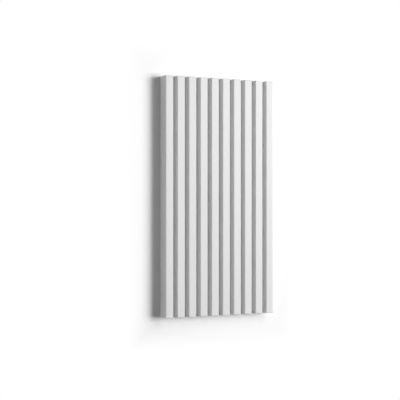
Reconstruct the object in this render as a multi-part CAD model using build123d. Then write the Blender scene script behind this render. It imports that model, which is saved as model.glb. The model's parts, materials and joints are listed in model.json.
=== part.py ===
from build123d import *
import os

# Ribbed wall panel, moulded in one piece with a flat back. It lies face up:
# X runs across the ribs, Y along them, and the back face is at Z = 0.

# Driving dimensions, in millimetres and degrees
panel_width = 250.0      # across the ribs
panel_length = 490.0     # along the ribs
panel_thickness = 29.0   # from the back face to the rib faces
rib_count = 10           # the outermost two are flush with the long sides
groove_width = 9.2       # between neighbouring ribs, at the rib faces
groove_depth = 14.0      # from the rib faces to the groove floors
flank_draft = 2.0        # lean of each groove flank, for release from the mould
arris_radius = 1.5       # rounding along the front edges of each rib
end_radius = 1.5         # rounding across the front corners of both ends of the ribs
root_radius = 1.0        # fillet along both sides of each groove floor

# Sizes that follow from them
groove_count = rib_count - 1
rib_width = (panel_width - groove_count * groove_width) / rib_count
rib_pitch = rib_width + groove_width

# The cross-section is drawn once and drawn out along the ribs.
with BuildPart() as wall_panel:
    with BuildSketch(Plane.XZ) as section:
        Rectangle(panel_width, panel_thickness, align=(Align.CENTER, Align.MIN))
        with Locations((0, panel_thickness)):
            with GridLocations(rib_pitch, groove_depth, groove_count, 1):
                Trapezoid(
                    groove_width,
                    groove_depth,
                    90 + flank_draft,
                    align=(Align.CENTER, Align.MAX),
                    mode=Mode.SUBTRACT,
                )
        floor_corners = section.vertices().group_by(Axis.Y)[1]
        fillet(floor_corners, radius=root_radius)
        face_corners = section.vertices().group_by(Axis.Y)[-1]
        fillet(face_corners, radius=arris_radius)
    extrude(amount=panel_length / 2, both=True)

    # Seen from the side, the front corners of both ends are rounded as well.
    with BuildSketch(Plane.YZ) as end_corners:
        with Locations((0, panel_thickness)):
            with GridLocations(panel_length, end_radius, 2, 1):
                Rectangle(2 * end_radius, 2 * end_radius)
        with Locations((0, panel_thickness - end_radius)):
            with GridLocations(panel_length - 2 * end_radius, end_radius, 2, 1):
                Circle(end_radius, mode=Mode.SUBTRACT)
    extrude(amount=panel_width, both=True, mode=Mode.SUBTRACT)

wall_panel.part.label = "wall_panel"
print(f"rib {rib_width:.2f} mm wide at a pitch of {rib_pitch:.2f} mm, volume {wall_panel.part.volume:.0f} mm3")

os.makedirs("parts", exist_ok=True)
export_step(wall_panel.part, "parts/wall_panel.step")
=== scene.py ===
# %% [markdown]
# # A ribbed wall panel
# The real object covers walls. It is one moulding of rigid foam, with ten flat ribs in front, a
# flat back and a matt white priming coat that is ready for paint. It lies on its back here, and
# the camera looks down on it. The CAD model gives the sizes, in metres. This lesson makes a finer
# mesh of the same shape, and the finish.

# %% Load the CAD model
import json
import math

import bmesh
import bpy
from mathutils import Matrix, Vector


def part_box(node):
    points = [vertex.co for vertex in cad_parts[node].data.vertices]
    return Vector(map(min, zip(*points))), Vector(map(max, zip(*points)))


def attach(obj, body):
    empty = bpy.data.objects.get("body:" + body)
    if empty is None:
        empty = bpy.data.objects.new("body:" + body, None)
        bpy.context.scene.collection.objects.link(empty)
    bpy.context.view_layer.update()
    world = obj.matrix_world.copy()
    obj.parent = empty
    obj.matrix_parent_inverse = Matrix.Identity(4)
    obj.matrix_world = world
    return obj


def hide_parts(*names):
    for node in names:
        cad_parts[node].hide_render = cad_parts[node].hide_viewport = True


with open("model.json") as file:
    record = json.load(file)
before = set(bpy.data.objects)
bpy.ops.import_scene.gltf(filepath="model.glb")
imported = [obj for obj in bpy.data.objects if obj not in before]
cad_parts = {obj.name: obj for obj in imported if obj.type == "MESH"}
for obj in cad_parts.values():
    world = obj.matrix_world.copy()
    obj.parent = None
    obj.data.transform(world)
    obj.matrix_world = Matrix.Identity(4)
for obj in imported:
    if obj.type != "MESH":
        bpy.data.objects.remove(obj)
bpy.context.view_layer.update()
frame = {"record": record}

low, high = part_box("wall_panel")
width, length, thickness = high - low
print(f"panel {width:.4f} wide, {length:.4f} long, {thickness:.4f} thick")

# %% [markdown]
# ## Sizes of the section
# A moulding is known by its section. The CAD record names each groove as a space that a brush
# reaches into, so the number of grooves and their spacing are read from there. The other sizes
# are the mould's own. They could be measured on the CAD mesh, but a reader learns more from a
# short list of named sizes.

# %% Name the sizes of the section
MM = 0.001
grooves = frame["record"]["physics"]["openings"]
groove_count = len(grooves)
groove_middles = sorted(sum(corner[0] for corner in groove["box_m"]) / 2 for groove in grooves)
pitch = (groove_middles[-1] - groove_middles[0]) / (groove_count - 1)
groove_width = 9.2 * MM
groove_depth = 14 * MM
flank_lean = groove_depth * math.tan(math.radians(2))
arris_radius = 1.5 * MM
end_radius = 1.5 * MM
root_radius = 1 * MM
print(f"{groove_count} grooves at a pitch of {pitch / MM:.2f} mm")

# %% [markdown]
# ## Sums on node sockets
# Both the shape and the finish need some arithmetic in node trees. Adding Math nodes by hand is
# long and hard to read. A small class that wraps an output socket lets Python's own operators add
# them, so that a rule in the tree reads like a rule on paper.

# %% A socket that takes part in sums


class Wire:
    """One output socket of a node tree. Sums on wires add Math nodes to the tree."""

    def __init__(self, socket):
        self.socket = socket
        self.tree = socket.id_data

    @classmethod
    def node(cls, tree, kind, settings=None, inputs=None, output=0):
        """Add a node: its settings come first, then the values or links of its sockets."""
        made = tree.nodes.new(kind)
        for name, value in (settings or {}).items():
            setattr(made, name, value)
        for name, value in (inputs or {}).items():
            if isinstance(value, Wire):
                tree.links.new(value.socket, made.inputs[name])
            else:
                made.inputs[name].default_value = value
        return cls(made.outputs[output]) if made.outputs else None

    def output(self, name):
        """Another output of the same node."""
        return Wire(self.socket.node.outputs[name])

    def math(self, operation, *others):
        values = dict(enumerate((self, *others)))
        return self.node(self.tree, "ShaderNodeMath", {"operation": operation}, values)

    def turned_round(self, operation, other):
        values = {0: other, 1: self}
        return self.node(self.tree, "ShaderNodeMath", {"operation": operation}, values)

    def __add__(self, other):
        return self.math("ADD", other)

    def __radd__(self, other):
        return self.turned_round("ADD", other)

    def __sub__(self, other):
        return self.math("SUBTRACT", other)

    def __rsub__(self, other):
        return self.turned_round("SUBTRACT", other)

    def __mul__(self, other):
        return self.math("MULTIPLY", other)

    def __rmul__(self, other):
        return self.turned_round("MULTIPLY", other)

    def __truediv__(self, other):
        return self.math("DIVIDE", other)

    def __rtruediv__(self, other):
        return self.turned_round("DIVIDE", other)

    def __gt__(self, other):
        return self.math("GREATER_THAN", other)

    def __lt__(self, other):
        return self.math("LESS_THAN", other)


print("sums on sockets are ready")

# %% [markdown]
# ## The section as a rule
# The outline of the section is a closed curve of straight runs. Going round it, each groove has
# four corners, two at the rib faces and two at its floor, and the panel's own four corners follow
# in the same order. So a corner's place follows from its number alone. Geometry Nodes can say
# that with the Index field, and the number of grooves stays an input. Booleans on boxes would also
# cut the grooves, but they leave no clean loops to round.

# %% Rules for the corners of the section


def section_corner(tree, size):
    """Where each corner of the section lies and how far it is rounded, from its number."""
    number = Wire.node(tree, "GeometryNodeInputIndex")
    turn = (number / 4).math("FLOOR")
    corner = number - turn * 4
    inner = (corner - 1.5).math("ABSOLUTE") < 1
    side = (corner > 1.5) * 2 - 1
    outer = turn > size["Grooves"] - 0.5
    middle = (turn - (size["Grooves"] - 1) / 2) * size["Pitch"]
    in_groove = middle + side * (size["Groove Width"] / 2 - inner * size["Flank Lean"])
    at_edge = side * size["Width"] / -2
    across = in_groove + outer * (at_edge - in_groove)
    drop = size["Groove Depth"] + outer * (size["Thickness"] - size["Groove Depth"])
    height = size["Thickness"] - inner * drop
    rounding = (1 - inner) * size["Arris Radius"] + inner * (1 - outer) * size["Root Radius"]
    return across, height, rounding


print(f"the outline has {groove_count * 4 + 4} corners before rounding")

# %% [markdown]
# ## Rounded ends
# Seen from the side, the ribs' front corners are rounded at both ends. A Bevel modifier could do
# that, but it would have to be kept off the grooves. Here the path of the sweep has a few points
# close to each end, and whatever stands above the rounded side view there is lowered to it, as a
# plane shaves the end of a board.

# %% Rules for the ends


def path_station(tree, size):
    """How far along the panel each point of the path lies, crowded into both roundings."""
    number = Wire.node(tree, "GeometryNodeInputIndex")
    last = size["End Steps"] * 2 + 1
    from_end = number.math("MINIMUM", last - number)
    angle = from_end / size["End Steps"] * (math.pi / 2)
    inset = size["End Radius"] * (1 - angle.math("COSINE"))
    side = (number > last / 2) * 2 - 1
    return side * (size["Length"] / 2 - inset)


def side_view_height(along, size):
    """The height of the panel's rounded side view at a place along it."""
    from_end = size["Length"] / 2 - along.math("ABSOLUTE")
    inset = from_end.math("MINIMUM", size["End Radius"])
    rise = (inset * (size["End Radius"] * 2 - inset)).math("SQRT")
    return size["Thickness"] - size["End Radius"] + rise


print(f"both ends are rounded by {end_radius / MM:.1f} mm")

# %% [markdown]
# ## Sweep the section
# The mould's section is the same all along the panel, so the rounded outline is swept along a
# straight path with Curve to Mesh, which also closes both ends. A lofted grid of points would
# give the same faces, but the curve keeps the roundings and the number of their steps as inputs.

# %% Nodes that sweep the section and shave the ends


def sweep_section(tree, size):
    """Sweep the rounded section along the panel and close both ends."""
    across, height, rounding = section_corner(tree, size)
    place = Wire.node(tree, "ShaderNodeCombineXYZ", None, {"X": across, "Y": height * -1})
    corner_count = size["Grooves"] * 4 + 4
    ring = Wire.node(
        tree, "GeometryNodeCurvePrimitiveCircle", None, {"Resolution": corner_count}
    )
    outline = Wire.node(
        tree, "GeometryNodeSetPosition", None, {"Geometry": ring, "Position": place}
    )
    section = Wire.node(
        tree,
        "GeometryNodeFilletCurve",
        {"mode": "POLY"},
        {"Curve": outline, "Count": size["Arc Steps"], "Radius": rounding},
    )
    line = Wire.node(tree, "GeometryNodeCurvePrimitiveLine", None, {"End": (0, 1, 0)})
    points = Wire.node(
        tree,
        "GeometryNodeResampleCurve",
        {"mode": "COUNT"},
        {"Curve": line, "Count": size["End Steps"] * 2 + 2},
    )
    station = Wire.node(tree, "ShaderNodeCombineXYZ", None, {"Y": path_station(tree, size)})
    path = Wire.node(
        tree, "GeometryNodeSetPosition", None, {"Geometry": points, "Position": station}
    )
    return Wire.node(
        tree,
        "GeometryNodeCurveToMesh",
        None,
        {"Curve": path, "Profile Curve": section, "Fill Caps": True},
    )


def round_ends(tree, panel, size):
    """Lower what stands above the rounded side view."""
    place = Wire.node(tree, "GeometryNodeInputPosition")
    parts = Wire.node(tree, "ShaderNodeSeparateXYZ", None, {"Vector": place})
    across, along, up = (parts.output(axis) for axis in "XYZ")
    lowered = up.math("MINIMUM", side_view_height(along, size))
    rounded = Wire.node(
        tree, "ShaderNodeCombineXYZ", None, {"X": across, "Y": along, "Z": lowered}
    )
    return Wire.node(
        tree, "GeometryNodeSetPosition", None, {"Geometry": panel, "Position": rounded}
    )


print("the section is swept along Y")

# %% [markdown]
# ## The panel's node tree
# Each size is a named input of the tree, so the same tree makes a panel with other ribs. Edges
# that turn sharply stay sharp: those of the flat back and of the end faces. The roundings turn a
# little at each step and are shaded smooth.

# %% Build the node tree of the panel
SIZES = {
    "Width": width,
    "Length": length,
    "Thickness": thickness,
    "Grooves": groove_count,
    "Pitch": pitch,
    "Groove Width": groove_width,
    "Groove Depth": groove_depth,
    "Flank Lean": flank_lean,
    "Arris Radius": arris_radius,
    "Root Radius": root_radius,
    "End Radius": end_radius,
    "Arc Steps": 8,
    "End Steps": 6,
}
SHARP_TURN = math.radians(40)


def panel_tree(primer):
    """A node tree that makes the ribbed panel, with one named input for each size."""
    tree = bpy.data.node_groups.new("ribbed_panel", "GeometryNodeTree")
    for name, value in SIZES.items():
        kind = "NodeSocketInt" if isinstance(value, int) else "NodeSocketFloat"
        tree.interface.new_socket(name, in_out="INPUT", socket_type=kind)
    tree.interface.new_socket("Panel", in_out="OUTPUT", socket_type="NodeSocketGeometry")
    inputs = Wire.node(tree, "NodeGroupInput")
    size = {name: inputs.output(name) for name in SIZES}
    panel = round_ends(tree, sweep_section(tree, size), size)
    turn = Wire.node(tree, "GeometryNodeInputMeshEdgeAngle")
    panel = Wire.node(
        tree,
        "GeometryNodeSetShadeSmooth",
        {"domain": "EDGE"},
        {"Geometry": panel, "Selection": turn > SHARP_TURN, "Shade Smooth": False},
    )
    panel = Wire.node(tree, "GeometryNodeRealizeInstances", None, {"Geometry": panel})
    panel = Wire.node(
        tree, "GeometryNodeSetMaterial", None, {"Geometry": panel, "Material": primer}
    )
    Wire.node(tree, "NodeGroupOutput", None, {"Panel": panel})
    return tree


print("the panel's node tree takes", ", ".join(SIZES))

# %% [markdown]
# ## Patterns for the finish
# The finish is uneven in ways that have a real size, so its patterns are measured in cells a
# metre. An image texture could hold them, but noise on Object coordinates has no seams and keeps
# its scale. Blends go through Mix, because a Math node would turn a colour grey.

# %% Noise, blends and places


def place_of_point(tree):
    """Where a point of the surface lies, as three values in metres."""
    place = Wire.node(tree, "ShaderNodeTexCoord", output="Object")
    parts = Wire.node(tree, "ShaderNodeSeparateXYZ", None, {"Vector": place})
    return [parts.output(axis) for axis in "XYZ"]


def noise(tree, cells_per_metre, detail=2.0, stretch=(1.0, 1.0, 1.0)):
    """Noise from 0 to 1, drawn out along an axis where stretch is over 1."""
    place = Wire.node(tree, "ShaderNodeTexCoord", output="Object")
    scale = tuple(1 / share for share in stretch)
    place = Wire.node(tree, "ShaderNodeMapping", None, {"Vector": place, "Scale": scale})
    values = {"Vector": place, "Scale": cells_per_metre, "Detail": detail}
    return Wire.node(tree, "ShaderNodeTexNoise", None, values)


def blend_colours(tree, share, first, second):
    """The first colour where share is 0, the second where it is 1."""
    values = {"Factor": share, 6: first, 7: second}
    return Wire.node(tree, "ShaderNodeMix", {"data_type": "RGBA"}, values, output=2)


print("patterns are measured in cells a metre")

# %% [markdown]
# ## The priming coat
# The coat is sprayed on. It is matt, a neutral white and a little uneven. Slow clouds of tone come
# from a coat that is thicker here and thinner there. Faint streaks follow the ribs, because the
# spray passes run that way. A painted image could show this, but it would repeat or blur on a panel
# of another length. A thicker coat is both a little lighter and a little rougher.

# %% How thick the coat is
PRIMER_THIN = (0.732, 0.732, 0.731, 1)
PRIMER_THICK = (0.762, 0.762, 0.761, 1)
CLOUDS_PER_METRE = 22
STREAKS_PER_METRE = 160
STREAK_STRETCH = 40
CLOUD_SHARE = 0.7


def coat_thickness(tree):
    """How thick the coat is, from 0 to 1."""
    clouds = noise(tree, CLOUDS_PER_METRE, detail=3)
    streaks = noise(tree, STREAKS_PER_METRE, stretch=(1, STREAK_STRETCH, 1))
    return clouds * CLOUD_SHARE + streaks * (1 - CLOUD_SHARE)


print("the coat varies between", PRIMER_THIN[:3], "and", PRIMER_THICK[:3])

# %% [markdown]
# ## Bare foam at the back
# The back is glued to the wall, so nobody coats it. There the moulded foam shows, a warmer
# off-white with an open skin of fine cells. The spray ends in a slightly ragged line just above
# the back. It is the same piece with the same slot, so one material carries both finishes, and
# the height above the back says which one shows. Bump gives the primer its fine orange-peel grain,
# from drops that set before they flow out, and the foam its open cells.

# %% The finish of the panel
FOAM_PALE = (0.78, 0.74, 0.64, 1)
FOAM_CELL = (0.62, 0.57, 0.46, 1)
CELLS_PER_METRE = 620
BACK_EDGE = 0.3 * MM
RAGGED = 0.4 * MM
PEEL_PER_METRE = 700
GRAIN_DEPTH = 0.16 * MM
GRAIN_STRENGTH = 0.8
ROUGHNESS = 0.60
ROUGHER_COAT = 0.10
ROUGHER_FOAM = 0.22


def white_primer():
    """Matt white priming coat on the front and sides, bare moulded foam on the back."""
    material = bpy.data.materials.new("white_primer")
    material.use_nodes = True
    tree = material.node_tree
    tree.nodes.clear()
    coat = coat_thickness(tree)
    primer = blend_colours(tree, coat, PRIMER_THIN, PRIMER_THICK)
    place = Wire.node(tree, "ShaderNodeTexCoord", output="Object")
    cells = Wire.node(
        tree, "ShaderNodeTexVoronoi", None, {"Vector": place, "Scale": CELLS_PER_METRE}
    )
    foam = blend_colours(tree, cells * 0.7 + coat * 0.5, FOAM_PALE, FOAM_CELL)
    peel = noise(tree, PEEL_PER_METRE)
    bare = place_of_point(tree)[2] < BACK_EDGE + peel * RAGGED
    height = peel + bare * (cells * 2 - peel)
    grain = {"Strength": GRAIN_STRENGTH, "Distance": GRAIN_DEPTH, "Height": height}
    shader = Wire.node(
        tree,
        "ShaderNodeBsdfPrincipled",
        None,
        {
            "Base Color": blend_colours(tree, bare, primer, foam),
            "Roughness": ROUGHNESS + coat * ROUGHER_COAT + bare * ROUGHER_FOAM,
            "IOR": 1.45,
            "Normal": Wire.node(tree, "ShaderNodeBump", None, grain),
        },
    )
    Wire.node(tree, "ShaderNodeOutputMaterial", None, {"Surface": shader})
    return material


print(f"bare foam shows below {BACK_EDGE / MM:.1f} to {(BACK_EDGE + RAGGED) / MM:.1f} mm")

# %% [markdown]
# ## Make the panel
# The node tree's inputs are set by the identifiers of their sockets, because names may repeat.
# A Weighted Normal modifier follows the tree: it lets the broad flat faces set the shading where
# they meet a rounding, so that they look flat. The result becomes a plain mesh, so the piece
# carries no modifier.

# %% Turn the node tree into a plain mesh


def make_panel():
    """The panel as one object with a plain mesh, in the CAD model's place."""
    tree = panel_tree(white_primer())
    maker = bpy.data.objects.new("panel_maker", bpy.data.meshes.new("panel_maker"))
    bpy.context.scene.collection.objects.link(maker)
    nodes = maker.modifiers.new("ribbed_panel", "NODES")
    nodes.node_group = tree
    for item in tree.interface.items_tree:
        if item.in_out == "INPUT":
            nodes[item.identifier] = SIZES[item.name]
    normals = maker.modifiers.new("flat_faces", "WEIGHTED_NORMAL")
    normals.keep_sharp = True
    graph = bpy.context.evaluated_depsgraph_get()
    mesh = bpy.data.meshes.new_from_object(
        maker.evaluated_get(graph), preserve_all_data_layers=True, depsgraph=graph
    )
    bpy.data.objects.remove(maker)
    made = bpy.data.objects.new("panel_moulding", mesh)
    bpy.context.scene.collection.objects.link(made)
    return made


panel = make_panel()
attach(panel, "root")
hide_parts("wall_panel")
solid = bmesh.new()
solid.from_mesh(panel.data)
open_edges = sum(not edge.is_manifold for edge in solid.edges)
litres = solid.calc_volume(signed=True) * 1000
print(f"panel mesh: {len(solid.verts)} points, {open_edges} open edges, {litres:.4f} litres")
solid.free()

# %% [markdown]
# ## The floor
# A plain white floor carries the panel and takes its shadow. Near the panel it is a matt surface.
# Further out the camera sees it fade to plain white, so that no edge and no falling-off of the
# light shows. The light that it throws back at the panel stays that of an ordinary pale floor.

# %% A white floor that takes the shadow
FLOOR_REACH = 3.0
FLOOR_DROP = 0.2 * MM
FLOOR_IN_BOUNCES = (0.80, 0.80, 0.80, 1)
FLOOR_IN_PICTURE = (1.0, 1.0, 1.0, 1)
FADE_START = 0.012
FADE_END = 0.07


def seen_rays(tree):
    """1 for rays that show a surface to the camera, straight on, mirrored or through glass."""
    rays = Wire.node(tree, "ShaderNodeLightPath", output="Is Camera Ray")
    mirrored = rays.math("MAXIMUM", rays.output("Is Glossy Ray"))
    return mirrored.math("MAXIMUM", rays.output("Is Transmission Ray"))


def soft_step(value, start, end):
    """0 up to start, 1 from end on, and a smooth rise between them."""
    values = {"Value": value, "From Min": start, "From Max": end}
    settings = {"interpolation_type": "SMOOTHSTEP"}
    return Wire.node(value.tree, "ShaderNodeMapRange", settings, values)


def mix_shaders(tree, share, first, second):
    """The first shader where share is 0, the second where it is 1."""
    return Wire.node(tree, "ShaderNodeMixShader", None, {0: share, 1: first, 2: second})


def floor_material():
    """Matt white near the panel, and plain white to the camera further out."""
    material = bpy.data.materials.new("white_floor")
    material.use_nodes = True
    tree = material.node_tree
    tree.nodes.clear()
    across, along = place_of_point(tree)[:2]
    beside = across.math("ABSOLUTE") - width / 2
    beyond = along.math("ABSOLUTE") - length / 2
    fade = soft_step(beside.math("MAXIMUM", beyond), FADE_START, FADE_END)
    seen = seen_rays(tree)
    unseen = Wire.node(tree, "ShaderNodeBsdfDiffuse", None, {"Color": FLOOR_IN_BOUNCES})
    shown = Wire.node(tree, "ShaderNodeBsdfDiffuse", None, {"Color": FLOOR_IN_PICTURE})
    white = Wire.node(tree, "ShaderNodeEmission", None, {"Strength": 1.0})
    matt = mix_shaders(tree, seen, unseen, shown)
    floor = mix_shaders(tree, fade * seen, matt, white)
    Wire.node(tree, "ShaderNodeOutputMaterial", None, {"Surface": floor})
    return material


def make_floor():
    """One large square just under the panel's back."""
    reach = FLOOR_REACH
    corners = [(-reach, -reach), (reach, -reach), (reach, reach), (-reach, reach)]
    mesh = bpy.data.meshes.new("floor")
    mesh.from_pydata([(x, y, -FLOOR_DROP) for x, y in corners], [], [(0, 1, 2, 3)])
    mesh.materials.append(floor_material())
    floor = bpy.data.objects.new("floor", mesh)
    bpy.context.scene.collection.objects.link(floor)
    return floor


make_floor()
print(f"the floor reaches {FLOOR_REACH} m each way")

# %% [markdown]
# ## Light
# The main light is broad and stands well off to the right, so that each rib's left flank is in
# shade. A small lamp hangs nearer, towards the far end, and lets the tone fall off along the ribs.
# A weak, low one on the left keeps the shaded flanks readable. Light from all round would be
# simpler, but it would wash out the grooves and the shadow.

# %% Lamps and surroundings


def soft_light(name, place, size, power):
    """A square lamp that shines at the middle of the panel."""
    lamp = bpy.data.lights.new(name, "AREA")
    lamp.size = size
    lamp.energy = power
    holder = bpy.data.objects.new(name, lamp)
    holder.location = place
    holder.rotation_euler = Vector(place).to_track_quat("Z", "Y").to_euler()
    bpy.context.scene.collection.objects.link(holder)


soft_light("main_light", place=(3.34, 0.12, 3.72), size=2.4, power=238)
soft_light("far_end_light", place=(0.32, 0.34, 0.78), size=0.5, power=2.6)
soft_light("low_left_light", place=(-2.82, 0, 1.03), size=1.2, power=18)

world = bpy.data.worlds.new("surroundings")
world.use_nodes = True
bpy.context.scene.world = world
sky = world.node_tree
sky.nodes.clear()
dark = Wire.node(sky, "ShaderNodeBackground", None, {"Strength": 0.0})
white = Wire.node(sky, "ShaderNodeBackground", None, {"Color": (1, 1, 1, 1), "Strength": 1.0})
shown = mix_shaders(sky, seen_rays(sky), dark, white)
Wire.node(sky, "ShaderNodeOutputWorld", None, {"Surface": shown})

# %% [markdown]
# ## Camera
# The photograph looks at the panel from its left, level with its middle, through a long lens. The
# camera's place, its lean and its lens follow from the panel's edges in the photograph.

# %% The camera
CAMERA_PLACE = (-1.0059, -0.0102, 1.9464)
CAMERA_LEAN = math.radians(26.528)
CAMERA_LENS = 94.32
SENSOR_WIDTH = 36
CAMERA_SHIFT = (0.0005, 0.00487)

camera = bpy.data.cameras.new("camera")
camera.lens = CAMERA_LENS
camera.sensor_width = SENSOR_WIDTH
camera.shift_x, camera.shift_y = CAMERA_SHIFT
viewer = bpy.data.objects.new("camera", camera)
viewer.location = CAMERA_PLACE
viewer.rotation_euler = (0, -CAMERA_LEAN, 0)
bpy.context.scene.collection.objects.link(viewer)
bpy.context.scene.camera = viewer
bpy.context.scene.view_settings.view_transform = "Standard"
print("camera at", CAMERA_PLACE)
